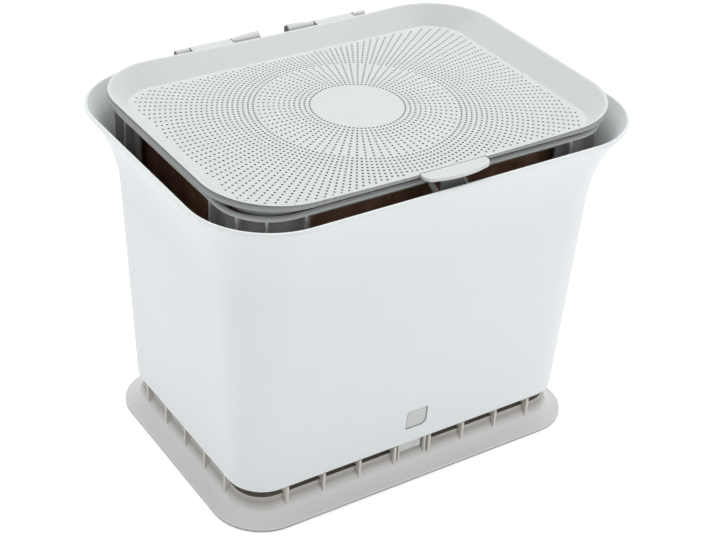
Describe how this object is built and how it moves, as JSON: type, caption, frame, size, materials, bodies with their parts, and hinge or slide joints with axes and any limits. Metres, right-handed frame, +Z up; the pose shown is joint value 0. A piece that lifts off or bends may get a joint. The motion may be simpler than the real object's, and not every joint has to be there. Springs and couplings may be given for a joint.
{
  "type": "compost caddy",
  "caption": "Kitchen compost caddy: flared bin on a finned, vented base, with a lift-out liner frame, a soft liner and a dished, perforated lid with a press tab.",
  "frame": {"origin": "on the floor, under the middle of the bin", "axes": "+X along the long side, +Y to the back where the lid is hinged, +Z up"},
  "size_m": [0.2914, 0.2154, 0.2291],
  "materials": {
    "base_plastic": "fine matte, light grey",
    "bin_plastic": "satin white",
    "frame_plastic": "satin grey",
    "bag_film": "soft brown film",
    "lid_plastic": "satin light grey",
    "pin_steel": "plain drawn steel"
  },
  "bodies": {
    "bin": {"base_tray": "base_plastic", "outer_bin": "bin_plastic"},
    "front_catch": {"front_base_catch": "base_plastic"},
    "rear_catch": {"rear_base_catch": "base_plastic"},
    "frame": {"liner_frame": "frame_plastic", "liner_bag": "bag_film", "left_hinge_pin": "pin_steel", "right_hinge_pin": "pin_steel"},
    "lid": {"lid": "lid_plastic", "tab_pin": "pin_steel"},
    "tab": {"press_tab": "lid_plastic"}
  },
  "joints": [
    {"name": "front_catch_flex", "type": "hinge", "parent": "bin", "child": "front_catch", "pos_m": [0, -0.07535, 0.0143], "axis": [-1, 0, 0], "range_deg": [0, 6], "stiffness_Nm_per_rad": 0.8},
    {"name": "rear_catch_flex", "type": "hinge", "parent": "bin", "child": "rear_catch", "pos_m": [0, 0.07535, 0.0143], "axis": [1, 0, 0], "range_deg": [0, 6], "stiffness_Nm_per_rad": 0.8},
    {"name": "frame_lift", "type": "slide", "parent": "bin", "child": "frame", "axis": [0, 0, 1], "range_m": [0, 0.25]},
    {"name": "lid_hinge", "type": "hinge", "parent": "frame", "child": "lid", "pos_m": [0, 0.1024, 0.224], "axis": [-1, 0, 0], "range_deg": [0, 100]},
    {"name": "tab_press", "type": "hinge", "parent": "lid", "child": "tab", "pos_m": [0, -0.0956, 0.2224], "axis": [1, 0, 0], "range_deg": [0, 6], "stiffness_Nm_per_rad": 0.25}
  ]
}
